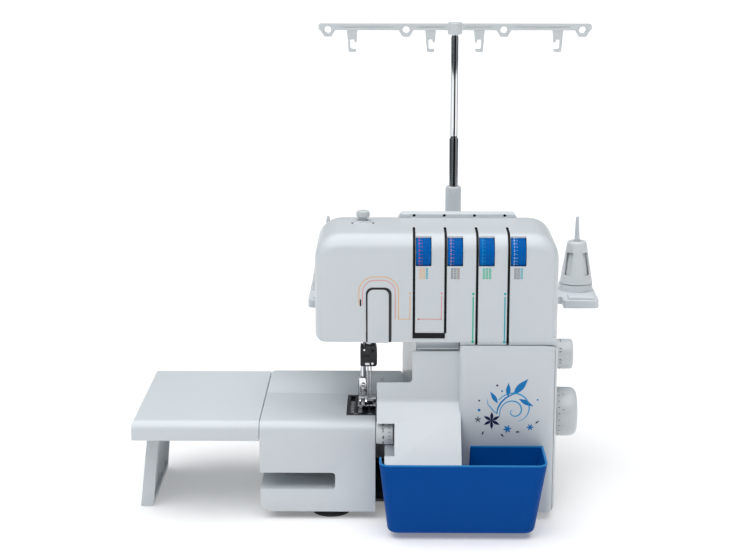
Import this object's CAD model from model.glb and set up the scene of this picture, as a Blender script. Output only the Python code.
import math
import bmesh
import bpy
from mathutils import Matrix, Vector


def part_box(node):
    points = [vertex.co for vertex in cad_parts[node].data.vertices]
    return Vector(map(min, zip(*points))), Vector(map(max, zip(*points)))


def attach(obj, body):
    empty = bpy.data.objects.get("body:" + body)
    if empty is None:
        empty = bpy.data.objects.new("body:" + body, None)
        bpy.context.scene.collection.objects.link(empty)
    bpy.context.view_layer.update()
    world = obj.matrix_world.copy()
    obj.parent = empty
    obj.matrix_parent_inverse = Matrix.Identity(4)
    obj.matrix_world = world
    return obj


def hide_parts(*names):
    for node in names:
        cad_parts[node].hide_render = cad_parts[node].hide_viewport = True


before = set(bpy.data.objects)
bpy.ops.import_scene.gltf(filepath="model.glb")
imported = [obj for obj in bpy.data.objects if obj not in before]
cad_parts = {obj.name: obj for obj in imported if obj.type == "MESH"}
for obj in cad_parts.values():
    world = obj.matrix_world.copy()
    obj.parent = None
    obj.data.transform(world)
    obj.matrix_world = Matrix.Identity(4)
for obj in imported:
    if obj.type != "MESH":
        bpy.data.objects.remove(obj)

for leftover in ("Cube", "Light", "Camera"):
    if leftover in bpy.data.objects:
        bpy.data.objects.remove(bpy.data.objects[leftover], do_unlink=True)
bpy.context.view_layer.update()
print("frame loaded:", len(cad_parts), "nodes")

# Lengths are millimetres: x from 19 right of the free arm's end, y from the bed's front, z from the floor
bedLow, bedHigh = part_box("free_arm_bed")
datum = Vector((bedHigh.x + 0.019, bedLow.y, 0))
toWorld = Matrix.Translation(datum) @ Matrix.Scale(0.001, 4)

bed = {"left": -137, "right": -19, "top": 104, "joint": 105, "back": 190, "bottom": 8,
       "gapFloor": 32.5, "gapRoof": 50.5, "gapEnd": -60, "wall": 2.5, "frontRound": 11, "cornerRound": 13}
head = {"left": -80, "right": 165, "front": 6, "bottom": 186, "top": 297, "wall": 2.5, "parting": 90}
column = {"left": 22, "front": 22, "back": 187.7, "rearLeft": 8.5, "top": 206}
dial = {"firstX": 29, "pitch": 31.5, "width": 14.6, "y": 20.5, "z": 277, "wellRadius": 16.9,
        "wellHalf": 7.9}
poleAt = (65, 212, 0)
knobAt = (-32.6, 80, 0)
wheelAt, lengthAt, widthAt = (0, 90, 89), (0, 90, 152.5), (0, 6, 92)


# Materials
class Wire:
    def __init__(self, tree, socket):
        self.tree, self.socket = tree, socket

    def math(self, operation, other=None, flip=False):
        values = [self, other] if not flip else [other, self]
        return node(self.tree, "Math", {"operation": operation}, *values)

    def __add__(self, other): return self.math("ADD", other)
    def __radd__(self, other): return self.math("ADD", other)
    def __sub__(self, other): return self.math("SUBTRACT", other)
    def __rsub__(self, other): return self.math("SUBTRACT", other, True)
    def __mul__(self, other): return self.math("MULTIPLY", other)
    def __rmul__(self, other): return self.math("MULTIPLY", other)
    def __gt__(self, other): return self.math("GREATER_THAN", other)


def node(tree, kind, settings, *values, out=0, **named):
    made = tree.nodes.new("ShaderNode" + kind)
    for key, value in settings.items():
        if key == "ramp":
            while len(made.color_ramp.elements) < len(value):
                made.color_ramp.elements.new(0.5)
            for element, (place, colour) in zip(made.color_ramp.elements, value):
                element.position, element.color = place, (*colour, 1)
        else:
            setattr(made, key, value)
    slots = list(enumerate(values)) + [(key.replace("_", " "), value) for key, value in named.items()]
    for slot, value in slots:
        if isinstance(value, Wire):
            tree.links.new(value.socket, made.inputs[slot])
        elif value is not None:
            made.inputs[slot].default_value = value
    return Wire(tree, made.outputs[out])


def part(wire, index):
    return Wire(wire.tree, wire.socket.node.outputs[index])


def shader(name, colour, roughness, metallic=0.0, sockets=None, build=None):
    mat = bpy.data.materials.new(name)
    mat.use_nodes = True
    tree = mat.node_tree
    main = tree.nodes["Principled BSDF"]
    main.inputs["Base Color"].default_value = (*colour, 1)
    main.inputs["Roughness"].default_value = roughness
    main.inputs["Metallic"].default_value = metallic
    for key, value in (sockets or {}).items():
        main.inputs[key].default_value = value
    if build:
        for key, wire in build(tree).items():
            tree.links.new(wire.socket, main.inputs[key])
    return mat


def tinted(tree, factor, first, second):
    return node(tree, "Mix", {"data_type": "RGBA"}, factor, None, None, None, None, None, first, second,
        out=2)


def objectPlace(tree, scale=(1, 1, 1)):
    place = node(tree, "TexCoord", {}, out=3)
    return node(tree, "Mapping", {}, place, Scale=scale)


def moulded(colour, shade, roughness, grain=0.12, grainSize=900.0):
    # faint cloudy tint, soft sheen changes and the fine spark-erosion grain of a mould
    def build(tree):
        place = objectPlace(tree)
        cloud = node(tree, "TexNoise", {}, place, Scale=14.0, Detail=3.0)
        fine = node(tree, "TexNoise", {}, place, Scale=grainSize, Detail=2.0)
        tint = tinted(tree, cloud, (*colour, 1), (*shade, 1))
        bump = node(tree, "Bump", {}, grain, 0.0002, Height=fine)
        return {"Base Color": tint, "Roughness": roughness + (cloud - 0.5) * 0.12 + (fine - 0.5) * 0.06,
            "Normal": bump}
    return build


def brushed(colour, shade, roughness, scale=(60, 60, 1200), strength=0.15):
    # streaks that run along the axis with the smallest scale
    def build(tree):
        place = objectPlace(tree, scale)
        streak = node(tree, "TexNoise", {}, place, Scale=1.0, Detail=4.0)
        tint = tinted(tree, streak, (*colour, 1), (*shade, 1))
        bump = node(tree, "Bump", {}, strength, 0.0002, Height=streak)
        return {"Base Color": tint, "Roughness": roughness + (streak - 0.5) * 0.2, "Normal": bump}
    return build


def binPlastic(tree):
    # blue, paler along the rim where the wall thins and lets light through
    made = moulded((0.0, 0.068, 0.31), (0.0, 0.058, 0.27), 0.38, 0.08)(tree)
    rimHeight = 0.0797
    rim = part(node(tree, "SeparateXYZ", {}, node(tree, "TexCoord", {}, out=3)), 2) > rimHeight
    made["Base Color"] = tinted(tree, rim, made["Base Color"], (0.02, 0.19, 0.46, 1))
    return made


finish = {
    "white_shell": shader("shellWhite", (0.77, 0.80, 0.83), 0.36,
        build=moulded((0.612, 0.645, 0.670), (0.585, 0.620, 0.648), 0.36),
        sockets={"Coat Weight": 0.12, "Coat Roughness": 0.25}),
    "white_knob": shader("knobWhite", (0.80, 0.82, 0.83), 0.32,
        build=moulded((0.635, 0.66, 0.675), (0.60, 0.625, 0.64), 0.30, 0.06)),
    "blue_dial": shader("dialBlue", (0.0, 0.12, 0.52), 0.28,
        build=moulded((0.0, 0.125, 0.45), (0.0, 0.10, 0.39), 0.36, 0.05),
        sockets={"Specular IOR Level": 0.05}),
    "blue_bin": shader("binBlue", (0.0, 0.08, 0.33), 0.30, build=binPlastic,
        sockets={"Specular IOR Level": 0.06}),
    "black_plastic": shader("blackPlastic", (0.02, 0.02, 0.022), 0.4,
        build=moulded((0.022, 0.022, 0.024), (0.012, 0.012, 0.014), 0.42, 0.2)),
    "rubber": shader("rubberBlack", (0.015, 0.015, 0.015), 0.75,
        build=moulded((0.02, 0.02, 0.02), (0.01, 0.01, 0.01), 0.75, 0.4, 500.0)),
    "chrome": shader("chromePolished", (0.82, 0.82, 0.83), 0.07, 1.0,
        build=brushed((0.84, 0.84, 0.85), (0.76, 0.76, 0.78), 0.08, (900, 900, 20), 0.02)),
    "steel": shader("steelTurned", (0.58, 0.58, 0.60), 0.25, 1.0,
        build=brushed((0.62, 0.62, 0.64), (0.48, 0.48, 0.50), 0.26, (900, 900, 60), 0.08)),
    "dark_plate": shader("plateDark", (0.16, 0.17, 0.18), 0.34, 1.0,
        build=brushed((0.052, 0.062, 0.072), (0.028, 0.034, 0.040), 0.38, (1500, 30, 300), 0.12)),
    "cast_frame": shader("castAlloy", (0.5, 0.51, 0.52), 0.55, 1.0,
        build=moulded((0.52, 0.53, 0.54), (0.42, 0.43, 0.44), 0.55, 0.5, 400.0)),
    "brass": shader("brassTurned", (0.72, 0.52, 0.22), 0.3, 1.0,
        build=brushed((0.76, 0.56, 0.25), (0.62, 0.44, 0.18), 0.28, (60, 900, 900), 0.08)),
    "lamp_glass": shader("lampGlass", (0.95, 0.93, 0.86), 0.08,
        sockets={"Transmission Weight": 0.6, "IOR": 1.45},
        build=moulded((0.96, 0.94, 0.88), (0.90, 0.88, 0.80), 0.08, 0.02)),
}


def poleBands(tree):
    # polished tube: long soft bands round the pole's own axis, with a fine drawn grain
    centre = datum + Vector(poleAt) * 0.001
    turn = node(tree, "TexGradient", {"gradient_type": "RADIAL"},
        node(tree, "Mapping", {}, node(tree, "TexCoord", {}, out=3), tuple(-centre)), out=1)
    edge, light, dark = (0.26, 0.27, 0.28), (0.82, 0.83, 0.84), (0.012, 0.012, 0.014)
    half = [(0.0, edge), (0.10, (0.4, 0.42, 0.44)), (0.15, light), (0.215, light), (0.237, dark),
        (0.285, dark), (0.305, light), (0.36, light), (0.40, (0.2, 0.2, 0.21))]
    bands = half + [(place + 0.5, tone) for place, tone in half]
    tint = node(tree, "ValToRGB", {"ramp": bands}, turn)
    grain = node(tree, "TexNoise", {}, objectPlace(tree, (900, 900, 30)), Scale=1.0, Detail=2.0)
    return {"Base Color": tint, "Roughness": 0.08 + grain * 0.06}


finish["pole_chrome"] = shader("poleChrome", (0.6, 0.6, 0.61), 0.1, 1.0, build=poleBands)


def ink(name, colour):
    return shader(name, colour, 0.5, sockets={"Specular IOR Level": 0.15},
        build=moulded(colour, tuple(0.85 * c for c in colour), 0.45, 0.03))


inks = {"black": ink("inkBlack", (0.012, 0.012, 0.016)), "tan": ink("inkTan", (0.82, 0.52, 0.27)),
        "pink": ink("inkPink", (0.80, 0.36, 0.38)), "green": ink("inkGreen", (0.02, 0.48, 0.30)),
        "teal": ink("inkTeal", (0.03, 0.40, 0.50)), "blue": ink("inkBlue", (0.01, 0.20, 0.52)),
        "navy": ink("inkNavy", (0.008, 0.012, 0.07)), "grey": ink("inkGrey", (0.20, 0.22, 0.24)),
        "light": ink("inkLight", (0.62, 0.72, 0.86)), "brown": ink("inkBrown", (0.32, 0.22, 0.20)),
        "sky": ink("inkSky", (0.05, 0.36, 0.66)), "red": ink("inkRed", (0.80, 0.05, 0.07))}
print("materials ready:", len(finish) + len(inks))


# Modelling tools
def onAxis(axis, u, v, w):
    # u and v across the axis, w along it
    if axis == "X":
        return (w, u, v)
    return (u, w, v) if axis == "Y" else (u, v, w)


def outlineFace(bm, corners, axis, level):
    # a flat face from its corners (u, v, radius), each corner rounded by a vertex bevel
    verts = [bm.verts.new(onAxis(axis, corner[0], corner[1], level)) for corner in corners]
    bm.faces.new(verts)
    count = len(corners)
    for index, (vert, corner) in enumerate(zip(verts, corners)):
        radius = corner[2] if len(corner) > 2 else 0
        if not radius:
            continue
        here = Vector(corner[:2])
        back = Vector(corners[index - 1][:2]) - here
        ahead = Vector(corners[(index + 1) % count][:2]) - here
        reach = radius / math.tan(back.angle(ahead) / 2)
        bmesh.ops.bevel(bm, geom=[vert], offset=reach, segments=max(4, min(14, int(radius) + 4)),
            profile=0.5, affect="VERTICES", material=-1)
    return bm.faces[:]


def prism(corners, axis, low, high):
    bm = bmesh.new()
    faces = outlineFace(bm, corners, axis, low)
    grown = bmesh.ops.extrude_face_region(bm, geom=faces)
    moved = [item for item in grown["geom"] if isinstance(item, bmesh.types.BMVert)]
    bmesh.ops.translate(bm, verts=moved, vec=Vector(onAxis(axis, 0, 0, high - low)))
    bmesh.ops.recalc_face_normals(bm, faces=bm.faces)
    return bm


def block(low, high, bevel=0.0, segments=3):
    bm = bmesh.new()
    bmesh.ops.create_cube(bm, size=1)
    bmesh.ops.scale(bm, verts=bm.verts, vec=Vector(high) - Vector(low))
    bmesh.ops.translate(bm, verts=bm.verts, vec=(Vector(low) + Vector(high)) / 2)
    if bevel:
        bmesh.ops.bevel(bm, geom=bm.edges[:], offset=bevel, segments=segments, profile=0.5,
            affect="EDGES", material=-1)
    return bm


def turnTo(bm, axis):
    # what was made round z now runs round the given axis
    if axis == "X":
        bmesh.ops.rotate(bm, verts=bm.verts, matrix=Matrix.Rotation(math.pi / 2, 3, "Y"))
    if axis == "Y":
        bmesh.ops.rotate(bm, verts=bm.verts, matrix=Matrix.Rotation(-math.pi / 2, 3, "X"))


def turned(profile, axis, centre, segments=48):
    # spin (radius, height) points round an axis through the centre
    bm = bmesh.new()
    verts = [bm.verts.new((radius, 0, height)) for radius, height in profile]
    edges = [bm.edges.new(pair) for pair in zip(verts, verts[1:])]
    if min(radius for radius, height in profile) > 1e-5:
        edges.append(bm.edges.new((verts[-1], verts[0])))
    bmesh.ops.spin(bm, geom=verts + edges, cent=(0, 0, 0), axis=(0, 0, 1), angle=2 * math.pi,
        steps=segments, use_merge=True)
    bmesh.ops.remove_doubles(bm, verts=bm.verts, dist=1e-4)
    bmesh.ops.recalc_face_normals(bm, faces=bm.faces)
    turnTo(bm, axis)
    bmesh.ops.translate(bm, verts=bm.verts, vec=Vector(centre))
    return bm


def rod(radius, axis, centre, low, high, segments=32):
    return turned([(0, low), (radius, low), (radius, high), (0, high)], axis, centre, segments)


def solid(name, bm, material):
    mesh = bpy.data.meshes.new(name)
    bm.to_mesh(mesh)
    bm.free()
    obj = bpy.data.objects.new(name, mesh)
    bpy.context.scene.collection.objects.link(obj)
    mesh.materials.append(finish.get(material) or inks.get(material))
    return obj


def bakeModifiers(obj):
    graph = bpy.context.evaluated_depsgraph_get()
    fresh = bpy.data.meshes.new_from_object(obj.evaluated_get(graph), depsgraph=graph)
    obj.modifiers.clear()
    old = obj.data
    obj.data = fresh
    bpy.data.meshes.remove(old)
    return obj


def boolean(obj, bm, operation):
    tool = bm
    if isinstance(bm, bmesh.types.BMesh):
        tool = solid("tool", bm, "white_shell")
        tool.data.materials[0] = obj.data.materials[0]
    modifier = obj.modifiers.new("shape", "BOOLEAN")
    modifier.operation = operation
    modifier.material_mode = "TRANSFER"
    modifier.object = tool
    bakeModifiers(obj)
    bpy.data.objects.remove(tool, do_unlink=True)
    return obj


def cut(obj, *tools):
    for tool in tools:
        boolean(obj, tool, "DIFFERENCE")
    return obj


def fuse(obj, *tools):
    for tool in tools:
        boolean(obj, tool, "UNION")
    return obj


def keepInside(obj, tool):
    return boolean(obj, tool, "INTERSECT")


def soften(obj, width, segments=3, angle=32):
    modifier = obj.modifiers.new("edges", "BEVEL")
    modifier.width = width
    modifier.segments = segments
    modifier.limit_method = "ANGLE"
    modifier.angle_limit = math.radians(angle)
    modifier.miter_outer = "MITER_ARC"
    modifier.use_clamp_overlap = True
    return bakeModifiers(obj)


def piece(obj, body, replaced=(), angle=35):
    # into metres in the CAD's place, shaded smooth, riding on its body
    obj.data.transform(toWorld)
    obj.data.shade_smooth()
    obj.data.set_sharp_from_angle(angle=math.radians(angle))
    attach(obj, body)
    if replaced:
        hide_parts(*replaced)
    return obj


def toothed(outer, inner, teeth, axis, centre, low, high):
    # a rim of square teeth with flat ends
    bm = bmesh.new()
    bmesh.ops.create_circle(bm, cap_ends=True, segments=teeth * 4, radius=outer)
    for index, vert in enumerate(bm.verts[:]):
        if index % 4 in (2, 3):
            vert.co *= inner / outer
    bmesh.ops.translate(bm, verts=bm.verts, vec=(0, 0, low))
    grown = bmesh.ops.extrude_face_region(bm, geom=bm.faces[:])
    moved = [item for item in grown["geom"] if isinstance(item, bmesh.types.BMVert)]
    bmesh.ops.translate(bm, verts=moved, vec=(0, 0, high - low))
    bmesh.ops.recalc_face_normals(bm, faces=bm.faces)
    turnTo(bm, axis)
    bmesh.ops.translate(bm, verts=bm.verts, vec=Vector(centre))
    return bm


def spun(bm, angle, axis, centre):
    bmesh.ops.rotate(bm, verts=bm.verts, cent=Vector(centre),
        matrix=Matrix.Rotation(math.radians(angle), 3, axis))
    return bm


def gather(obj, bm, material=None):
    # add closed bodies to an object, with a finish of their own when one is given
    mesh = obj.data
    index = 0
    if material:
        mat = finish.get(material) or inks.get(material)
        names = [slot.name for slot in mesh.materials]
        if mat.name not in names:
            mesh.materials.append(mat)
        index = [slot.name for slot in mesh.materials].index(mat.name)
    for face in bm.faces:
        face.material_index = index
    extra = bpy.data.meshes.new("extra")
    bm.to_mesh(extra)
    bm.free()
    whole = bmesh.new()
    whole.from_mesh(mesh)
    whole.from_mesh(extra)
    whole.to_mesh(mesh)
    whole.free()
    bpy.data.meshes.remove(extra)
    return obj


def keepCad(name, material):
    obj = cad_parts[name]
    for slot in obj.material_slots:
        slot.material = finish[material]


# Stage: camera, floor and light
view = {"lens": 81.744, "sensor": 36, "place": (0.0205, -1.751, 0.640), "down": 13.12, "turn": 0.67}
cameraData = bpy.data.cameras.new("camera")
cameraData.lens, cameraData.sensor_width = view["lens"], view["sensor"]
cameraObj = bpy.data.objects.new("camera", cameraData)
bpy.context.scene.collection.objects.link(cameraObj)
cameraObj.location = view["place"]
cameraObj.rotation_euler = (math.radians(90 - view["down"]), 0, math.radians(view["turn"]))
bpy.context.scene.camera = cameraObj
bpy.context.scene.view_settings.view_transform = "Standard"

floorBm = bmesh.new()
bmesh.ops.create_grid(floorBm, x_segments=1, y_segments=1, size=40000)
floorObj = solid("floor", floorBm, "white_shell")
floorObj.data.transform(Matrix.Scale(0.001, 4))
floorObj.data.materials[0] = shader("floorPale", (0.93, 0.93, 0.93), 0.9,
    build=moulded((0.775, 0.775, 0.775), (0.765, 0.765, 0.767), 0.9, 0.0),
    sockets={"Emission Color": (1, 1, 1, 1), "Emission Strength": 0.22, "Specular IOR Level": 0.0})

world = bpy.data.worlds.new("studio")
bpy.context.scene.world = world
world.use_nodes = True
sky = world.node_tree
way = node(sky, "SeparateXYZ", {}, node(sky, "TexCoord", {}, out=0))
height = node(sky, "ValToRGB", {"ramp": [(0.0, (0.34, 0.36, 0.38)), (0.25, (0.5, 0.52, 0.54)),
    (0.7, (0.88, 0.92, 0.95)), (1.0, (0.98, 1.0, 1.0))]}, part(way, 2))
side = node(sky, "ValToRGB", {"ramp": [(0.0, (0.3, 0.34, 0.36)), (0.22, (0.5, 0.54, 0.56)),
    (0.4, (0.9, 0.92, 0.94)), (0.68, (0.35, 0.36, 0.38)), (0.8, (0.35, 0.36, 0.38)),
    (0.92, (1.0, 1.0, 1.0))]}, part(way, 0) * 0.5 + 0.5)
glow = node(sky, "Mix", {"data_type": "RGBA", "blend_type": "MULTIPLY"}, 1.0, None, None, None, None,
    None, height, side, out=2)
sky.links.new(glow.socket, sky.nodes["Background"].inputs["Color"])
sky.nodes["Background"].inputs["Strength"].default_value = 0.52


def addLight(name, kind, energy, place, aim, size=1.0, colour=(1, 1, 1), angle=60):
    light = bpy.data.lights.new(name, kind)
    light.energy, light.color = energy, colour
    if kind == "AREA":
        light.shape, light.size, light.size_y = "RECTANGLE", size, size * 0.7
    else:
        light.angle = math.radians(angle)
    obj = bpy.data.objects.new(name, light)
    bpy.context.scene.collection.objects.link(obj)
    obj.location = place
    obj.rotation_euler = (Vector(aim) - Vector(place)).to_track_quat("-Z", "Y").to_euler()


addLight("skySun", "SUN", 3.05, (-0.3, -0.5, 3.0), (0, 0, 0), angle=80)
addLight("softboxFront", "AREA", 2.1, (-0.5, -1.6, 2.0), (0, 0, 0.2), 1.2)
print("stage ready")


# Head and column: rings (y, top, corner radius) down the back, and how the front edge rolls
headStations = [(90, 297, 26), (104, 296.3, 26), (118, 293.6, 26), (131, 288.6, 27), (144, 281.0, 28),
    (156, 271.6, 28), (166, 260.5, 27), (173, 248.0, 24), (178, 230.0, 18), (180, 206.0, 6)]
roll = {"start": 14, "steps": 8, "depth": 17, "radius": 26, "tighter": 9, "left": 7, "right": 6,
        "bottom": 1.5, "top": 15}


def ringAt(bm, y, left, right, bottom, top, radius, low):
    faces = len(bm.faces)
    corners = [(left, bottom, low), (left, top, radius), (right, top, radius), (right, bottom, low * 0.6)]
    verts = [bm.verts.new((corner[0], y, corner[1])) for corner in corners]
    bm.faces.new(verts)
    for vert, corner in zip(verts, corners):
        bmesh.ops.bevel(bm, geom=[vert], offset=corner[2], segments=8, profile=0.5, affect="VERTICES",
            material=-1)
    bm.faces.ensure_lookup_table()
    return bm.faces[faces]


def headLoft(shrink=0.0):
    # the front face is set in from the silhouette and rolls out to it; the back falls away in a curve
    bm = bmesh.new()
    rings = []
    left, right = head["left"] + shrink, head["right"] - shrink
    bottom, top = head["bottom"] + shrink, head["top"] - shrink
    start = math.radians(roll["start"])
    for step in range(roll["steps"] + 1):
        angle = start + (math.pi / 2 - start) * step / roll["steps"]
        share = (1 - math.sin(angle)) / (1 - math.sin(start))
        y = head["front"] + shrink + roll["depth"] * (math.cos(start) - math.cos(angle)) / math.cos(start)
        radius = roll["radius"] - shrink - roll["tighter"] * share
        rings.append(ringAt(bm, y, left + roll["left"] * share, right - roll["right"] * share,
            bottom + roll["bottom"] * share, top - roll["top"] * share, radius, 8 - 3 * share))
    for y, level, radius in headStations:
        back = max(0.0, y - 172) * 0.5
        rings.append(ringAt(bm, min(y, 180 - shrink), left + back, right - back, bottom + back * 0.7,
            level - shrink, min(radius, 26) * 0.96, 8 if y < 179 else 5))
    loops = [list(face.edges) for face in rings]
    bmesh.ops.delete(bm, geom=rings[1:-1], context="FACES_ONLY")
    for near, far in zip(loops, loops[1:]):
        bmesh.ops.bridge_loops(bm, edges=near + far)
    bmesh.ops.recalc_face_normals(bm, faces=bm.faces)
    return bm


def columnBody(shrink=0.0):
    low = bed["bottom"] - (1 if shrink else 0)
    front, back, right = column["front"] + shrink, column["back"] - shrink, head["right"] - shrink
    plan = [(column["left"] + shrink, front, 0), (right, front, 4), (right, back, 14),
        (column["rearLeft"] + shrink, back, 8)]
    return prism(plan, "Z", low, column["top"] - shrink)


def dialX(index):
    return dial["firstX"] + dial["pitch"] * index


casing = fuse(solid("casing", headLoft(), "white_shell"), columnBody())
fuse(casing, block((66.4, 6.3, 184.6), (163.2, 24, 192), 0.5))
hollow = fuse(solid("hollow", headLoft(head["wall"]), "black_plastic"), columnBody(head["wall"]))
for index in range(4):
    middle = dialX(index)
    half = dial["width"] / 2 + 0.6
    slotX = middle - 9.4
    grooveFoot = (196.8, 196.8, 170, 170)[index]
    groove = solid("groove", block((slotX - 1.3, -5, grooveFoot), (slotX + 1.3, 48, 310)), "black")
    cut(groove, headLoft(1.8))
    cut(casing, groove)
    window = prism([(-5, 265.8, 0), (15, 265.8, 2), (15, 310, 0), (-5, 310, 0)], "X", middle - half,
        middle + half)
    cut(casing, window)
cut(casing, hollow)
print("head shell shaped")

takeUpHole = prism([(-28.6, 170), (-2.7, 170), (-2.7, 244, 7), (-28.6, 244, 7)], "Y", -5, 9.5)
barHole = block((-46, 42, 180), (-10, 91, 189.5))
knobHole = rod(5.2, "Z", (*knobAt[:2], head["top"]), -9, 6)
leverSlot = block((-39, 80, 180), (-26, 160, 189.5))
shaftHole = rod(7.5, "X", (head["right"], *wheelAt[1:]), -5, 5)
dialHole = rod(4.6, "X", (head["right"], *lengthAt[1:]), -5, 5)
switchHole = block((155, 119.5, 39.5), (166, 132.5, 60.5))
inletHole = block((155, 142, 39.5), (166, 168, 60.5))
bedPassage = block((2, 24.5, -2), (30, 185, 100))
for index in range(4):
    wellAt = (dialX(index), dial["y"], dial["z"])
    cut(casing, rod(dial["wellRadius"], "X", wellAt, -dial["wellHalf"], dial["wellHalf"], 64))
cut(casing, takeUpHole, barHole, knobHole, leverSlot, shaftHole, dialHole, switchHole, inletHole,
    bedPassage)
rearCasing = casing.copy()
rearCasing.data = casing.data.copy()
bpy.context.scene.collection.objects.link(rearCasing)
seam = 0.15
keepInside(casing, block((-200, -10, 0), (300, head["parting"] - seam, 320)))
keepInside(rearCasing, block((-200, head["parting"] + seam, 0), (300, 200, 320)))
casing.name, rearCasing.name = "headFront", "headRear"
piece(casing, "machine", ["front_casing"], 30)
piece(rearCasing, "machine", ["rear_casing"], 30)
print("casings done", len(casing.data.polygons), len(rearCasing.data.polygons))


# Guide ridge on top, with its thread holes
holeRow = {"fromDial": -8.5, "y": 106, "front": 101.2, "z": 299.2}
ridge = prism([(98, 295.6), (98, 301, 1.2), (104, 303, 2), (114, 299, 2), (114, 293.4)], "X", 0.5, 131.5)
ridgeObj = solid("guideRidge", ridge, "white_shell")
keepInside(ridgeObj, prism([(0.5, 290), (8.5, 304, 3), (123.5, 304, 3), (131.5, 290)], "Y", 90, 120))
for index in range(4):
    x = dialX(index) + holeRow["fromDial"]
    cut(ridgeObj, turned([(0, -9), (3.0, -9), (1.5, -7.2), (1.3, 9), (0, 9)], "Y",
        (x, holeRow["y"], holeRow["z"]), 20))
soften(ridgeObj, 0.5)
for index in range(4):
    x = dialX(index) + holeRow["fromDial"]
    gather(ridgeObj, rod(1.9, "Y", (x, holeRow["front"], holeRow["z"]), -1.2, 0.4, 20), "black")
piece(ridgeObj, "machine", ["guide_ridge"])


# Take-up cover: a white flap with a dark rebate behind it
takeUp = {"left": -26.8, "right": -5.5, "top": 241.5, "round": 6}
flap = solid("takeUpCover", prism([(takeUp["left"], 186.6), (takeUp["right"], 186.6),
    (takeUp["right"], takeUp["top"], takeUp["round"]), (takeUp["left"], takeUp["top"], takeUp["round"])],
    "Y", 5.5, 7.8), "white_shell")
soften(flap, 0.7)
gather(flap, prism([(-28.4, 187), (-2.9, 187), (-2.9, 243.8, 6.8), (-28.4, 243.8, 6.8)], "Y", 7.7, 8.5),
    "black_plastic")
piece(flap, "machine", ["take_up_cover"])
notch = prism([(-34.6, 224.5, 0.6), (-33.2, 224.5, 0.6), (-33.2, 231.8, 0.6), (-34.6, 231.8, 0.6)], "Y",
    5.8, 6.4)
shadowBar = prism([(18.3, 191.6), (50.9, 191.6), (50.9, 197.2), (18.3, 197.2)], "Y", 5.6, 6.4)
details = gather(solid("casingDetails", notch, "black"), shadowBar)
piece(details, "machine")


# Printed threading lines, dots and stitch marks on the head, standing a little proud of the front face
def stripe(points, width=0.9, level=6.0):
    # flat bars along right-angled points (x, z)
    bm = bmesh.new()
    for (x0, z0), (x1, z1) in zip(points, points[1:]):
        low = (min(x0, x1) - width / 2, level - 0.06, min(z0, z1) - width / 2)
        high = (max(x0, x1) + width / 2, level + 0.3, max(z0, z1) + width / 2)
        grown = bmesh.ops.create_cube(bm, size=1)["verts"]
        bmesh.ops.scale(bm, verts=grown, vec=Vector(high) - Vector(low))
        bmesh.ops.translate(bm, verts=grown, vec=(Vector(low) + Vector(high)) / 2)
    return bm


def arch(left, right, top, width, feet, radius, level=6.0):
    half = width / 2
    leftFoot, rightFoot = feet
    outline = [(left - half, leftFoot), (left - half, top + half, radius),
        (right + half, top + half, radius), (right + half, rightFoot), (right - half, rightFoot),
        (right - half, top - half, radius - width), (left + half, top - half, radius - width),
        (left + half, leftFoot)]
    return prism(outline, "Y", level - 0.06, level + 0.3)


def dot(x, z, radius, level=6.0):
    return rod(radius, "Y", (x, level, z), -0.06, 0.3, 16)


tanLine = gather(solid("printTan", arch(-35.5, 4.1, 254.8, 1.0, (226, 211.5), 16), "tan"),
    stripe([(4.1, 211.5), (15.7, 211.5), (15.7, 235.4)], 0.9))
gather(tanLine, dot(15.7, 238.2, 1.1))
pinkLine = gather(solid("printPink", arch(-31.8, 0.9, 251.4, 0.9, (226, 211.1), 13), "pink"),
    stripe([(24.7, 211.4), (47.3, 211.4), (47.3, 235.4)], 0.9))
gather(pinkLine, dot(24.2, 211.4, 1.1))
gather(pinkLine, dot(47.3, 238.2, 1.1))
greenLine = gather(solid("printGreen", stripe([(78.9, 190.6), (78.9, 234.2)], 1.3), "green"),
    dot(78.9, 188.2, 1.4))
gather(greenLine, dot(78.9, 237.6, 1.3))
tealLine = gather(solid("printTeal", stripe([(110.7, 190.6), (110.7, 234.2)], 1.3), "teal"),
    dot(110.7, 188.2, 1.4))
gather(tealLine, dot(110.7, 237.6, 1.3))
for line in (tanLine, pinkLine, greenLine, tealLine):
    piece(line, "machine")


stitch = {"rows": 5, "rowPitch": 2.3, "columnPitch": 3.1, "length": 2.9, "stroke": 0.7, "lean": 38,
          "top": 263.0, "tones": [("tan", "tan", "teal"), ("grey", "grey", "brown"),
                                  ("green", "green", "green"), ("grey", "grey", "teal")]}


def stitchColumn(x):
    # crossed strokes one above the other, like a row of overlock stitches
    bm = bmesh.new()
    for row in range(stitch["rows"]):
        for lean in (-stitch["lean"], stitch["lean"]):
            grown = bmesh.ops.create_cube(bm, size=1)["verts"]
            level = 6.1 + 0.01 * (row % 2) + (0.02 if lean > 0 else 0)
            bmesh.ops.scale(bm, verts=grown, vec=(stitch["length"], 0.3, stitch["stroke"]))
            bmesh.ops.rotate(bm, verts=grown, matrix=Matrix.Rotation(math.radians(lean), 3, "Y"))
            bmesh.ops.translate(bm, verts=grown, vec=(x, level, stitch["top"] - row * stitch["rowPitch"]))
    return bm


for index, tones in enumerate(stitch["tones"]):
    middle = dialX(index) + 0.2
    marks = solid("stitchSymbols" + str(index + 1), stitchColumn(middle), tones[1])
    gather(marks, stitchColumn(middle - stitch["columnPitch"]), tones[0])
    gather(marks, stitchColumn(middle + stitch["columnPitch"]), tones[2])
    piece(marks, "machine")
print("head details done")


# Tension dials
numeralInk = ["red", "pink", "teal", "light"]
scale = {"firstStep": -3, "lastStep": 13, "stepAngle": 13, "zeroAngle": 18, "zeroStep": 2}


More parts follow.
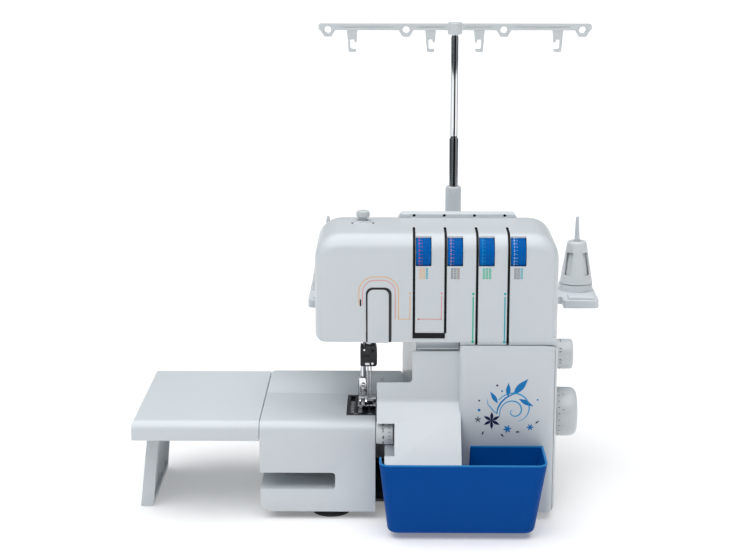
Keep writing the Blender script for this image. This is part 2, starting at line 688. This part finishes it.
def drawnBody(curve):
    # the closed body that a text or a curve draws
    obj = bpy.data.objects.new("drawn", curve)
    bpy.context.scene.collection.objects.link(obj)
    bpy.context.view_layer.update()
    mesh = bpy.data.meshes.new_from_object(obj.evaluated_get(bpy.context.evaluated_depsgraph_get()))
    bpy.data.objects.remove(obj, do_unlink=True)
    bm = bmesh.new()
    bm.from_mesh(mesh)
    bpy.data.meshes.remove(mesh)
    bmesh.ops.remove_doubles(bm, verts=bm.verts, dist=1e-4)
    return bm


def dialNumber(text, x, angle, radius, centre, size, depth=0.25):
    # a numeral standing on the rim of a wheel that turns about x
    curve = bpy.data.curves.new("numeral", "FONT")
    curve.body, curve.size, curve.extrude = text, size, depth / 2
    curve.align_x, curve.align_y = "CENTER", "CENTER"
    curve.resolution_u = 2
    bm = drawnBody(curve)
    upright = Matrix.Rotation(math.pi / 2, 4, "X")          # faces the front, -y
    out = Matrix.Translation((0, -radius, 0))
    turn = Matrix.Rotation(math.radians(-angle), 4, "X")
    home = Matrix.Translation((x, centre[1], centre[2]))
    bmesh.ops.transform(bm, verts=bm.verts, matrix=home @ turn @ out @ upright)
    return bm


for index in range(4):
    x = dialX(index)
    half = dial["width"] / 2
    centre = (x, dial["y"], dial["z"])
    wheel = [(2.6, -half), (13.6, -half), (15.9, -half), (16.4, -half + 0.5), (16.4, -half + 5.4),
        (16.1, -half + 5.6), (16.1, half - 0.9), (15.5, half), (12.6, half), (11.8, half - 1.0),
        (5.0, half - 1.0), (4.2, half), (2.6, half)]
    wheelObj = solid("tensionDial" + str(index + 1), turned(wheel, "X", centre, 96), "blue_dial")
    gather(wheelObj, toothed(16.6, 16.2, 60, "X", centre, -half + 6.2, half - 1.2))
    for step in range(scale["firstStep"], scale["lastStep"] + 1):
        angle = scale["zeroAngle"] - scale["stepAngle"] * (step - scale["zeroStep"])
        label = dialNumber(str(step % 10), x - half + 3.0, angle, 16.35, centre, 3.4)
        gather(wheelObj, label, numeralInk[index])
        tick = block((x - half + 5.2, dial["y"] - 16.55, dial["z"] - 0.2),
            (x - half + 6.1, dial["y"] - 15.9, dial["z"] + 0.2))
        gather(wheelObj, spun(tick, -angle, "X", centre), numeralInk[index])
    piece(wheelObj, ["dial_left_needle", "dial_right_needle", "dial_upper_looper",
        "dial_lower_looper"][index], ["tension_dial_" + str(index + 1)])
print("tension dials done")


# Free arm and rear bed
armSide = [(0, bed["bottom"], 2), (0, bed["top"], bed["frontRound"]), (bed["joint"], bed["top"]),
    (bed["joint"], bed["bottom"])]
arm = solid("freeArm", prism(armSide, "X", bed["left"], bed["right"]), "white_shell")
armFront = [(bed["left"], bed["bottom"], bed["cornerRound"]), (bed["left"], bed["top"], 1.5),
    (bed["right"], bed["top"], 0.8), (bed["right"], bed["bottom"], 0.8)]
keepInside(arm, prism(armFront, "Y", -1, bed["joint"] + 1))
gap = [(bed["left"] - 1, bed["gapFloor"]), (bed["gapEnd"], bed["gapFloor"], 3.5),
    (bed["gapEnd"], bed["gapRoof"], 3.5), (bed["left"] - 1, bed["gapRoof"])]
cut(arm, prism(gap, "Y", -1, bed["joint"] + 1))
inLeft, inTop = bed["left"] + bed["wall"], bed["top"] - bed["wall"]
inRight, inLow = bed["right"] + 1, bed["bottom"] - 1
underGap, overGap = bed["gapFloor"] - bed["wall"], bed["gapRoof"] + bed["wall"]
inner = [(inLeft, inTop), (inRight, inTop), (inRight, inLow), (inLeft + 10, inLow), (inLeft, 20),
    (inLeft, underGap), (bed["gapEnd"] + bed["wall"], underGap), (bed["gapEnd"] + bed["wall"], overGap),
    (inLeft, overGap)]
cut(arm, prism(inner, "Y", 5.5, bed["joint"] + 1), block((-49.3, 25.7, 95), (inRight, 97.3, bed["joint"])))
soften(arm, 0.9, 4)
piece(arm, "machine", ["free_arm_bed"])

rearFront = bed["joint"] + 0.3
rear = prism([(bed["left"], rearFront), (15.5, rearFront), (8.1, bed["back"]),
    (bed["left"], bed["back"], 6)], "Z", bed["bottom"], bed["top"])
rearObj = solid("rearBed", rear, "white_shell")
keepInside(rearObj, prism([(bed["left"], bed["bottom"], bed["cornerRound"]),
    (bed["left"], bed["top"], 1.5), (30, bed["top"]), (30, bed["bottom"])], "Y", 104, bed["back"] + 1))
cut(rearObj, prism([(-132.5, 107.8), (30, 107.8), (30, 187.5), (-132.5, 187.5)], "Z", inLow, inTop),
    block((-123, 104, 7), (30, 109, 30)))
soften(rearObj, 0.7)
piece(rearObj, "machine", ["rear_bed"])
print("bed done")


# Needle plate, feed teeth and presser foot
plate = solid("needlePlate", block((-49, 26, 101.9), (-19.6, 97, 104)), "dark_plate")
cut(plate, block((-45.6, 34, 100), (-41, 92, 111)), block((-37.6, 34, 100), (-33, 92, 111)),
    block((-30, 54, 100), (-21.8, 67, 111)), block((-41.2, 60, 103.6), (-37.4, 61, 105)),
    block((-41.2, 66, 103.6), (-37.4, 67, 105)))
soften(plate, 0.35)
for x, y in ((-39.3, 30.5), (-25.0, 31.0)):
    gather(plate, turned([(0, 0), (2.3, 0), (2.3, 0.5), (1.6, 0.9), (0, 0.9)], "Z", (x, y, 103.6), 24),
        "steel")
    gather(plate, block((x - 2.0, y - 0.28, 104.4), (x + 2.0, y + 0.28, 104.56)), "black")
piece(plate, "machine", ["needle_plate"])

feed = solid("feedTeeth", block((-45.2, 42, 93), (-41.4, 78, 102.2)), "steel")
gather(feed, block((-37.2, 42, 93), (-33.4, 78, 102.2)))
gather(feed, block((-45.2, 42, 93), (-33.4, 78, 97.8)))
for x in (-45.2, -37.2):
    for step in range(17):
        y = 43 + 2 * step
        gather(feed, prism([(y, 102.1), (y + 0.4, 103.5), (y + 1.7, 102.1)], "X", x, x + 3.8))
piece(feed, "feed_drive", ["feed_dog"])

sole = prism([(44, 108.5, 0.5), (48, 104.3, 1.6), (94, 104.3, 0.4), (94, 106.3, 0.4), (68, 106.6, 3),
    (52, 106.8, 2)], "X", -37.8, -19.2)
foot = solid("presserFoot", sole, "chrome")
cut(foot, block((-30, 54, 100), (-21.8, 67, 120)), block((-26.4, 40, 100), (-25.2, 56, 120)),
    block((-21.8, 60, 100), (-18, 74, 120)))
soften(foot, 0.4)
shank = solid("shank", prism([(75.5, 106, 0), (76.0, 112, 2), (75.5, 118, 2), (75.5, 130, 1),
    (84.5, 130, 1), (84.5, 112, 3), (87, 106, 0)], "X", -37.0, -28.2), "chrome")
soften(shank, 0.6)
gather(foot, turned([(0, 0), (2.2, 0), (2.2, 3.4), (1.7, 4.0), (0, 4.0)], "Y", (-32.6, 72.2, 121.5), 24))
gather(foot, block((-34.4, 71.9, 121.1), (-30.8, 72.4, 121.9)), "black")
fuse(foot, shank)
gather(foot, prism([(66, 106.2, 0), (70, 112, 1.5), (76, 113, 1), (76, 106.2, 0)], "X", -36.6, -34.9))
gather(foot, prism([(66, 106.2, 0), (70, 112, 1.5), (76, 113, 1), (76, 106.2, 0)], "X", -30.4, -28.7))
gather(foot, rod(0.9, "X", (0, 70.5, 109.6), -37.2, -28.1, 20))
piece(foot, "presser", ["presser_foot"])
releaseSide = [(78, 108, 1), (84, 107, 1), (88.5, 120.5, 2), (85.5, 125.5, 1.5), (84.6, 116, 1)]
release = soften(solid("footRelease", prism(releaseSide, "X", -37.7, -34.5), "black_plastic"), 0.4)
piece(release, "presser")

clampOutline = [(-35.2, 148, 2), (-17.8, 148, 3), (-17.8, 164, 1), (-19, 170.6, 2), (-30.6, 170.6, 0.8),
    (-31.4, 168.8, 0.6), (-35.2, 170.2, 1)]
clamp = solid("needleClamp", prism(clampOutline, "Y", 54.2, 66.5), "black_plastic")
cut(clamp, rod(1.5, "Y", (-22.2, 60, 165.5), -10, 10, 28), block((-33, 53, 159.2), (-24.8, 54.8, 160.2)))
soften(clamp, 0.6)
for x, z, radius in ((-22.6, 151.2, 1.3), (-31.0, 165.8, 1.1)):
    gather(clamp, turned([(0, 0), (radius, 0), (radius, -0.5), (radius * 0.8, -0.7), (0, -0.7)], "Y",
        (x, 54.2, z), 24), "chrome")
gather(clamp, prism([(-30.2, 149.6, 0.4), (-25.6, 149.6, 0.4), (-25.6, 152.0, 0.4), (-30.2, 152.0, 0.4)],
    "Y", 53.6, 54.4), "steel")
piece(clamp, "needle_drive", ["needle_clamp"])
print("stitching parts done")


# Looper cover: a deep panel at the right, a low wall at the left that folds out into the scrap chute
edge = 66
panelPlan = [(edge, 0.5, 5), (165, 0.5, 10), (165, 20.5), (edge, 20.5)]
panel = solid("looperCover", prism(panelPlan, "Z", 8, 184), "white_shell")
keepInside(panel, prism([(edge - 1, 8), (166, 8, 10), (166, 180.5, 0), (160, 183.2, 8), (150, 184, 20),
    (edge - 1, 184, 4)], "Y", -1, 30))
cut(panel, block((edge + 2.5, 3.2, 10.5), (162.5, 30, 181.5), 1))
wallSide = [(12, 176.5, 1.4), (12, 146, 0), (12, 124, 7), (-46, 66, 1.0), (-44.2, 64.2, 0.8),
    (3.5, 111.9, 3), (3.5, 10.5), (6, 10.5), (6, 113.3, 4), (15, 121.8, 4), (15, 176.5, 1.0)]
wall = solid("wall", prism(wallSide, "X", -17.5, 67.5), "white_shell")
cut(wall, prism([(-30, 143), (18.5, 143, 4), (18.5, 190), (-30, 190)], "Y", -60, 30),
    block((-30, -60, 79), (0.5, 30, 105.5)), block((-30, -60, 0), (-9.5, 30, 80)))
fuse(panel, wall)
soften(panel, 0.8, 3)
piece(panel, "cover", ["looper_cover"], 40)
lip = solid("coverRecess", prism([(12.4, 178.2, 0.5), (12.4, 185.6, 3), (21.6, 185.6, 0),
    (21.6, 178.2, 0)], "X", 22.6, 65.4), "white_shell")
cut(lip, rod(5.6, "X", (0, 10.6, 184.6), 20, 70, 40))
soften(lip, 0.4)
piece(lip, "machine")
print("looper cover done")


# Printed leaf motif on the cover, drawn as thin raised film
filmStack = {"count": 0, "step": 0.006}


def nextLevel():
    # each shape of the film lies a hair above the last, so that none share a plane
    filmStack["count"] += 1
    return 0.5 - filmStack["step"] * (filmStack["count"] % 20)


def leaf(x, z, length, width, angle):
    level = nextLevel()
    bm = prism([(0, 0), (length * 0.45, width / 2, length * 0.55), (length, 0),
        (length * 0.45, -width / 2, length * 0.55)], "Y", level - 0.07, level + 0.3)
    bmesh.ops.rotate(bm, verts=bm.verts, matrix=Matrix.Rotation(math.radians(-angle), 3, "Y"))
    bmesh.ops.translate(bm, verts=bm.verts, vec=(x, 0, z))
    return bm


def vine(points, thickest):
    # a tapering stem through points (x, z), pressed flat against the cover
    level = nextLevel()
    curve = bpy.data.curves.new("vine", "CURVE")
    curve.dimensions, curve.bevel_depth, curve.bevel_resolution, curve.use_fill_caps = "3D", 1.0, 2, True
    spline = curve.splines.new("POLY")
    spline.points.add(len(points) - 1)
    for index, (x, z) in enumerate(points):
        share = index / (len(points) - 1)
        spline.points[index].co = (x, 0, z, 1)
        swell = math.sin(math.pi * min(1, 0.15 + share * 0.85))
        spline.points[index].radius = thickest * (0.25 + 0.75 * swell)
    bm = drawnBody(curve)
    bmesh.ops.scale(bm, verts=bm.verts, vec=(1, 0.12, 1))
    bmesh.ops.translate(bm, verts=bm.verts, vec=(0, level, 0))
    return bm


def spiral(x, z, start, stop, radius0, radius1, steps=44):
    points = []
    for step in range(steps + 1):
        share = step / steps
        angle = math.radians(start + (stop - start) * share)
        radius = radius0 + (radius1 - radius0) * share ** 0.8
        points.append((x + radius * math.cos(angle), z + radius * math.sin(angle)))
    return points


cx, cz = 112, 122
film = gather(solid("motifBlue", leaf(cx + 8, cz + 12, 23, 9, 48), "blue"),
    leaf(cx + 3, cz + 10, 15, 6, 88))
for x, z, length, width, angle in ((cx + 14, cz + 8, 17, 6, -28), (cx - 7, cz + 3, 15, 5.5, 122)):
    gather(film, leaf(x, z, length, width, angle))
gather(film, vine([(cx - 8, cz - 8), (cx - 7, cz - 2), (cx - 4, cz + 4), (cx + 1, cz + 9),
    (cx + 8, cz + 13), (cx + 14, cz + 19)], 0.9))
for petal in range(6):
    gather(film, leaf(cx + 3, cz - 24, 4.6, 2.6, 60 * petal + 10))
    gather(film, leaf(cx + 26, cz - 22, 3.8, 2.2, 60 * petal))
for x, z, radius in ((cx - 26, cz - 4, 1.5), (cx - 3, cz + 16, 1.0), (cx + 33, cz + 7, 1.0)):
    gather(film, dot(x, z, radius, nextLevel()))
piece(film, "cover")
film = gather(solid("motifTeal", vine(spiral(cx + 9, cz - 5, 200, -230, 15, 1.6), 0.75), "sky"),
    vine(spiral(cx + 10, cz - 3, 150, -75, 19, 13), 0.8))
gather(film, vine([(cx - 8, cz - 8), (cx - 12, cz - 4), (cx - 17, cz + 2), (cx - 18, cz + 8)], 0.6))
piece(film, "cover")
film = solid("motifNavy", leaf(cx - 13, cz - 15, 9.5, 4.2, 90), "navy")
for petal in range(1, 6):
    gather(film, leaf(cx - 13, cz - 15, 9.5, 4.2, 90 + 60 * petal))
for petal in range(5):
    gather(film, leaf(cx - 27, cz - 14, 3.6, 1.6, 72 * petal + 20))
for x, z, length, angle in ((cx - 4, cz - 29, 5, -40), (cx + 11, cz - 27, 5, 0),
        (cx + 31, cz - 18, 5, 35), (cx - 21, cz - 26, 5, 250)):
    gather(film, leaf(x, z, length, 2, angle))
for x, z, radius in ((cx - 26, cz + 6, 1.0), (cx - 8, cz + 22, 1.1)):
    gather(film, dot(x, z, radius, nextLevel()))
piece(film, "cover")
print("motif done")


# Scrap bin: a tapered tray, open where the chute enters; each shell's floor and rim corners are (x, y)
binOuter = {"floor": ((-6, -56), (140, -1.5)), "rim": ((-14.5, -64), (151.5, -1.5)),
            "bottom": 6.2, "top": 81}
binInner = {"floor": ((-2.5, -52.5), (136.5, -3.5)), "rim": ((-12.9, -62.2), (149.9, -3.5)),
            "bottom": 8.5, "top": 83}


def taperedBox(shell, corner, floorRound):
    bm = bmesh.new()
    bmesh.ops.create_cube(bm, size=1)
    for vert in bm.verts:
        (x0, y0), (x1, y1) = shell["floor"] if vert.co.z < 0 else shell["rim"]
        vert.co = (x0 if vert.co.x < 0 else x1, y0 if vert.co.y < 0 else y1,
            shell["bottom"] if vert.co.z < 0 else shell["top"])
    upright = [edge for edge in bm.edges if abs(edge.verts[0].co.z - edge.verts[1].co.z) > 10
               and max(vert.co.y for vert in edge.verts) < -30]
    bmesh.ops.bevel(bm, geom=upright, offset=corner, segments=8, profile=0.5, affect="EDGES", material=-1)
    base = [edge for edge in bm.edges if max(vert.co.z for vert in edge.verts) < shell["bottom"] + 0.1]
    bmesh.ops.bevel(bm, geom=base, offset=floorRound, segments=5, profile=0.5, affect="EDGES", material=-1)
    return bm


binObj = solid("scrapBin", taperedBox(binOuter, 10, 5), "blue_bin")
cut(binObj, taperedBox(binInner, 8.5, 3.5))
backWay = prism([(-20, 30), (75.5, 30, 4), (78, 90), (-20, 90)], "Y", -12, 1)
sideWay = prism([(-40, 86), (1, 86), (1, 30), (-18, 30, 10)], "X", -20, -1)
cut(binObj, backWay, sideWay)
soften(binObj, 0.55, 3)
piece(binObj, "bin", ["scrap_bin"], 40)
print("bin done")


# Extension table with ribs beneath, and its folding leg
table = {"left": -267.5, "right": -137.6, "back": 190, "bottom": 84, "top": 104, "wall": 2.5,
         "ribHalf": 0.9, "ribLow": 98.6, "ribHigh": 101.4}
tableSide = [(0, table["bottom"], 1), (0, table["top"], 11), (table["back"], table["top"], 4),
    (table["back"], table["bottom"], 1)]
tableObj = solid("extensionTable", prism(tableSide, "X", table["left"], table["right"]), "white_shell")
tableFront = [(table["left"], table["bottom"]), (table["left"], table["top"], 4),
    (table["right"], table["top"], 1.2), (table["right"], table["bottom"])]
keepInside(tableObj, prism(tableFront, "Y", -1, table["back"] + 1))
cut(tableObj, block((table["left"] + table["wall"], 4.5, 83),
    (table["right"] - table["wall"], table["back"] - table["wall"], 101)))
for y in (48, 95, 142):
    fuse(tableObj, block((-232, y - table["ribHalf"], table["ribLow"]),
        (-141, y + table["ribHalf"], table["ribHigh"])))
for x in (-205, -170):
    fuse(tableObj, block((x - table["ribHalf"], 5, table["ribLow"]),
        (x + table["ribHalf"], 187.2, table["ribHigh"])))
soften(tableObj, 0.7)
piece(tableObj, "table", ["extension_table"])

legSide = [(-254.8, 98.5, 3.5), (-243, 98.5, 3.5), (-252.3, 0.6, 0.8), (-265.3, 0.6, 0.8)]
leg = solid("tableLeg", prism(legSide, "Y", 30, 160), "white_shell")
keepInside(leg, prism([(35, 0.2), (155, 0.2), (145, 99.2, 4), (40, 99.2, 4)], "X", -290, -230))
recess = prism([(41, 7, 3), (149, 7, 3), (142, 80, 3), (44, 80, 3)], "X", -256.2, -200)
pinAt = (-249, 0, 91.5)
cut(leg, recess, rod(1.8, "Y", pinAt, 0, 200, 20))
for y in (70, 95, 120):
    fuse(leg, prism([(-257.5, 5), (-253.5, 5), (-246.5, 82), (-252.5, 82)], "Y", y - 0.9, y + 0.9))
cut(leg, rod(1.8, "Y", pinAt, 0, 200, 20))
soften(leg, 0.6)
piece(leg, "leg", ["table_leg"])
print("table done")


# Spool tray with its pins, and four cone holders
tray = {"centre": 65.5, "half": 161, "front": 180, "middleFront": 200, "tongueFront": 188, "back": 268,
        "bottom": 179, "top": 188, "wing": 39.5, "pinY": 235, "pitch": 93.6}
left, right = tray["centre"] - tray["half"], tray["centre"] + tray["half"]
wing, front, back = tray["wing"], tray["front"], tray["back"]
middle, tongue = tray["middleFront"], tray["tongueFront"]
plan = [(left, front, 6), (left + wing, front, 3), (left + wing, middle, 3), (20, middle, 2),
    (20, tongue, 2), (110, tongue, 2), (110, middle, 2), (right - wing, middle, 3),
    (right - wing, front, 3), (right, front, 6), (right, back, 14), (left, back, 14)]
trayObj = soften(solid("spoolTray", prism(plan, "Z", tray["bottom"], tray["top"]), "white_shell"), 0.7)
pins = [(tray["centre"] + (index - 1.5) * tray["pitch"], tray["pinY"], 0) for index in range(4)]
for pin in pins:
    post = [(0, 184), (19.5, 184), (18.5, 195.4), (17.9, 196), (5.8, 196), (5.8, 198.1), (5.4, 198.5),
        (3.4, 200), (3.0, 244), (2.0, 268), (1.7, 271), (1.0, 272), (0, 272)]
    fuse(trayObj, turned(post, "Z", pin, 40))
cut(trayObj, block((left + 3, 203, 178), (right - 3, 265, 184.5)))
for x0, x1 in ((left + 6, left + wing - 6), (right - wing + 6, right - 6)):
    clip = [(182.5, 187, 0), (183.5, 191.5, 1.5), (198, 191.5, 2), (201, 187, 0)]
    fuse(trayObj, prism(clip, "X", x0, x1))
piece(trayObj, "machine", ["spool_tray"], 40)

foot, topZ = 196.6, 244
for index, pin in enumerate(pins):
    wallLine = [(17.0, foot), (18.8, foot), (18.6, foot + 1.2), (18.0, foot + 3.4), (11.2, topZ - 3),
        (10.2, topZ - 0.6), (9.4, topZ), (4.0, topZ), (4.0, topZ - 2.5), (8.2, topZ - 2.5)]
    cone = solid("coneHolder" + str(index + 1), turned(wallLine, "Z", pin, 64), "white_knob")
    for turn in (0, 90):
        bar = block((-30, -4.6, foot + 9.5), (30, 4.6, foot + 35.5), 1.2)
        bmesh.ops.rotate(bar, verts=bar.verts, matrix=Matrix.Rotation(math.radians(turn + 45), 3, "Z"))
        bmesh.ops.translate(bar, verts=bar.verts, vec=pin)
        cut(cone, bar)
    soften(cone, 0.35)
    sleeve = [(13.2, foot + 5), (14.6, foot + 5), (7.9, topZ - 4), (6.5, topZ - 4)]
    gather(cone, turned(sleeve, "Z", pin, 48))
    piece(cone, "cone_" + str(index + 1), ["cone_holder_" + str(index + 1)], 40)
print("spool stand done")


# Pole: ribbed socket, outer tube and the rod that slides in it
socket = solid("poleSocket", turned([(5.3, 188.3), (11.8, 188.3), (11.8, 199.4), (11.2, 201),
    (9.4, 203.6), (9.0, 206), (8.8, 300), (8.8, 308), (8.3, 309.8), (7.4, 310.5), (5.3, 310.5)], "Z",
    poleAt, 64), "white_shell")
for turn in (0, 90, 180, 270):
    rib = prism([(8.6, 189), (14.6, 189), (8.6, 212)], "Y", -0.8, 0.8)
    bmesh.ops.rotate(rib, verts=rib.verts, matrix=Matrix.Rotation(math.radians(turn + 45), 3, "Z"))
    bmesh.ops.translate(rib, verts=rib.verts, vec=poleAt)
    gather(socket, rib)
piece(socket, "machine", ["pole_socket"])
tube = solid("lowerPole", turned([(4.3, 188.3), (5, 188.3), (5, 362.6), (4.7, 363.4), (4.5, 364),
    (4.3, 364)], "Z", poleAt, 64), "pole_chrome")
piece(tube, "machine", ["lower_pole"])
rodLine = [(0, 300), (3.9, 300), (4.0, 300.6), (4.0, 366), (3.9, 366.4), (3.9, 367.6), (4.0, 368),
    (4.0, 474), (3.6, 475.2), (3.6, 477), (0, 477)]
tube = solid("upperPole", turned(rodLine, "Z", poleAt, 64), "pole_chrome")
piece(tube, "pole", ["upper_pole"])

# Thread tree: cross bar with eyelets, hooks and a hub
treeBar = {"x": poleAt[0], "y": poleAt[1], "z": 485.5, "half": 148, "eyes": (-138, -53, 53, 138),
           "hookAway": 26.5, "slots": ((-124, -66), (-40, -11), (11, 40), (66, 124))}
barLeft, barRight = treeBar["x"] - treeBar["half"], treeBar["x"] + treeBar["half"]
barLow, barHigh = treeBar["z"] - 3.5, treeBar["z"] + 3.5
barFront = [(barLeft, barLow, 2.4), (barRight, barLow, 2.4), (barRight, barHigh, 2.4),
    (barLeft, barHigh, 2.4)]
treeObj = solid("threadTree", prism(barFront, "Y", treeBar["y"] - 3.5, treeBar["y"] + 3.5), "white_knob")
fuse(treeObj, turned([(0, 477.5), (7.2, 477.5), (7.8, 478.2), (7.8, 489.6), (6.9, 490.5), (0, 490.5)],
    "Z", poleAt, 48))
for offset in treeBar["eyes"]:
    side = 1 if offset < 0 else -1
    boss = turned([(0, -3.3), (7.7, -3.3), (8, -2.9), (8, 2.9), (7.7, 3.3), (0, 3.3)], "Y",
        (treeBar["x"] + offset, treeBar["y"], barLow), 6)
    fuse(treeObj, boss)
    hook = [(-5.8, 482.5), (5.8, 482.5), (4.8, 469), (2.3, 469, 0.6), (2.3, 472, 0.8), (-2.3, 472, 1.2),
        (-1.8, 461.5, 1.2), (4.3, 461.5, 0.6), (3.8, 458.5, 1), (-3.8, 458.5, 1.4)]
    hookX = treeBar["x"] + offset + side * treeBar["hookAway"]
    outline = [(hookX + side * corner[0], *corner[1:]) for corner in hook]
    fuse(treeObj, prism(outline, "Y", 209, 215))
for offset in treeBar["eyes"]:
    eye = turned([(0, -10), (4.6, -10), (4.6, -3.4), (3.8, -2.6), (3.8, 2.6), (4.6, 3.4), (4.6, 10),
        (0, 10)], "Y", (treeBar["x"] + offset, treeBar["y"], treeBar["z"] - 3.0), 32)
    cut(treeObj, eye)
for low, high in treeBar["slots"]:
    cut(treeObj, block((treeBar["x"] + low, 205, treeBar["z"] - 0.7),
        (treeBar["x"] + high, 209.2, treeBar["z"] + 0.9)))
soften(treeObj, 0.45)
piece(treeObj, "tree", ["thread_tree"])
print("thread tree done")


# Wheel and dials on the right side
wheelLine = [(4.3, 170.5), (24.2, 170.5), (25.4, 171.0), (26, 172.2), (26, 185.6), (25.7, 187.8),
    (24.9, 190.0), (23.6, 191.8), (22.2, 192.9), (20.6, 193.5), (9.5, 193.5), (8.2, 192.6), (7.4, 189.5),
    (4.3, 189.5)]
wheel = solid("handwheel", turned(wheelLine, "X", wheelAt, 96), "white_knob")
gather(wheel, turned([(0, 188.6), (5.2, 188.6), (5.2, 190.6), (4.4, 191.4), (0, 191.4)], "X", wheelAt,
    40), "steel")
gather(wheel, block((191.2, 85.6, 88.6), (191.6, 94.4, 89.4)), "black")
for step in range(24):
    mark = block((172.8, 89.7, 114.7), (174.6, 90.3, 115.0))
    gather(wheel, spun(mark, 15 * step + 4, "X", wheelAt), "black")
for step in range(9):
    gather(wheel, dialNumber(str(step + 1), 178.6, 40 * step - 24, 25.8, wheelAt, 6.4), "navy")
piece(wheel, "drive_shaft", ["handwheel"])

dialLine = [(0, 153), (4.2, 153), (4.2, 165.8), (15.0, 165.8), (15.8, 166.4), (16, 167.4), (16, 184.8),
    (15.7, 186.4), (14.9, 187.6), (13.6, 188.2), (0, 188.2)]
dialObj = solid("stitchLengthDial", turned(dialLine, "X", lengthAt, 96), "white_knob")
gather(dialObj, block((188.0, 88.8, lengthAt[2]), (188.2, 91.2, 166.5)), "grey")
for step in range(13):
    mark = block((167.4, 89.7, lengthAt[2] + 15.7), (170.2, 90.3, lengthAt[2] + 16.0))
    gather(dialObj, spun(mark, 22 * step + 30, "X", lengthAt), "black")
    if step % 2 == 0:
        gather(dialObj, dialNumber(str(step // 2 + 1), 174.6, 22 * step - 60, 15.85, lengthAt, 6.8), "navy")
piece(dialObj, "length_dial", ["stitch_length_dial"])

widthLine = [(0, -18.2), (10.6, -18.2), (11.4, -17.7), (11.8, -17.0), (11.8, -1.9), (11.5, -1.2),
    (10.8, -0.8), (0, -0.8)]
widthObj = solid("stitchWidthDial", turned(widthLine, "X", widthAt, 96), "white_knob")
for step in range(10):
    mark = block((-6.4, 5.75, widthAt[2] + 11.6), (-3.2, 6.25, widthAt[2] + 11.9))
    gather(widthObj, spun(mark, 20 * step + 10, "X", widthAt), "grey")
    gather(widthObj, dialNumber(str((step + 4) % 10), -11.2, 36 * step - 8, 11.7, widthAt, 6.0), "black")
piece(widthObj, "width_dial", ["stitch_width_dial"])

knobLine = [(0, 291.5), (4.4, 291.5), (4.4, 301.0), (6.2, 301.5), (6.8, 302.2), (6.8, 306.6),
    (6.4, 307.5), (5.4, 308), (0, 308)]
knob = solid("pressureKnob", turned(knobLine, "Z", knobAt, 64), "white_knob")
ribs = 28
for step in range(ribs):
    rib = block((knobAt[0] - 0.35, knobAt[1] - 6.95, 302.4), (knobAt[0] + 0.35, knobAt[1] - 6.5, 306.4))
    gather(knob, spun(rib, 360 / ribs * step, "Z", knobAt))
piece(knob, "pressure_screw", ["pressure_knob"])
collar = solid("pressureCollar", turned([(5.3, 296.2), (9.6, 296.2), (9.2, 297.5), (8.6, 297.9),
    (5.3, 297.9)], "Z", knobAt, 56), "white_shell")
for x in (-43.4, -21.8):
    gather(collar, turned([(0, 296.6), (1.2, 296.6), (1.2, 297.6), (0, 297.6)], "Z", (x, 68, 0), 20),
        "black")
piece(collar, "machine")

leverLine = [(98, 206, 4), (110, 206, 5), (112, 184, 4), (142, 176, 3), (142, 169, 3), (104, 174, 5),
    (98, 196, 4)]
lever = solid("presserLever", prism(leverLine, "X", -36.2, -29), "black_plastic")
cut(lever, rod(1.9, "X", (0, 104, 202), -50, 0, 20))
for step in range(5):
    cut(lever, block((-37, 122 + 4 * step, 178 - 1.1 * step), (-28, 123.4 + 4 * step, 184)))
soften(lever, 0.8)
piece(lever, "lifting_lever", ["presser_lever"])
print("wheels and dials done")


# Feet, mains inlet, switch
feet = {"foot_front_left": (-65, 26, 20), "foot_front_right": (135, 45, 14),
    "foot_back_left": (-100, 160, 14), "foot_back_right": (135, 160, 14)}
for name, (x, y, radius) in feet.items():
    line = [(0, 0), (radius - 1.8, 0), (radius - 0.5, 0.5), (radius, 1.6), (radius, 3.4),
        (radius - 0.7, 3.8), (radius - 0.7, 4.6), (radius, 5.0), (radius - 0.6, 9.7), (0, 9.7)]
    pad = solid(name.replace("_", "") + "Pad", turned(line, "Z", (x, y, 0), 64), "rubber")
    cut(pad, turned([(0, -1), (radius - 5, -1), (radius - 5.6, 0.5), (0, 0.5)], "Z", (x, y, 0), 48))
    piece(pad, "machine", [name])

inlet = solid("powerInlet", block((156, 142.4, 39.9), (165.6, 167.6, 60.1), 1.2), "black_plastic")
cut(inlet, prism([(145.5, 43, 2), (164.5, 43, 2), (164.5, 57, 4), (145.5, 57, 4)], "X", 159, 170))
soften(inlet, 0.3)
for y in (150.5, 159.5):
    gather(inlet, rod(1.2, "X", (0, y, 50), 158.5, 164, 20), "brass")
piece(inlet, "machine", ["power_inlet"])

rocker = solid("powerSwitch", prism([(157, 120, 1), (157, 132, 1), (164.8, 132, 0.6), (163.6, 126, 4),
    (166.2, 120, 0.6)], "Z", 40, 60), "black_plastic")
soften(rocker, 0.5)
gather(rocker, block((164.6, 121.6, 46), (165.95, 122.1, 54)), "light")
piece(rocker, "switch", ["power_switch"])

# Inner parts keep their CAD shape and take a finish
keptParts = {
    "steel": ("main_shaft", "motor", "motor_pulley", "needle_bar", "needle_left", "needle_right",
              "lever_pin", "fixed_knife", "moving_knife", "upper_looper", "lower_looper", "dial_axle",
              "cover_hinge_rod", "leg_pin"),
    "black_plastic": ("base_plate", "belt_pulley"), "brass": ("shaft_bush_left", "shaft_bush_right"),
    "cast_frame": ("machine_frame",), "rubber": ("drive_belt",), "chrome": ("presser_bar",),
    "lamp_glass": ("sewing_lamp",)}
for material, names in keptParts.items():
    for name in names:
        keepCad(name, material)
print("feet, inlet and inner parts done")
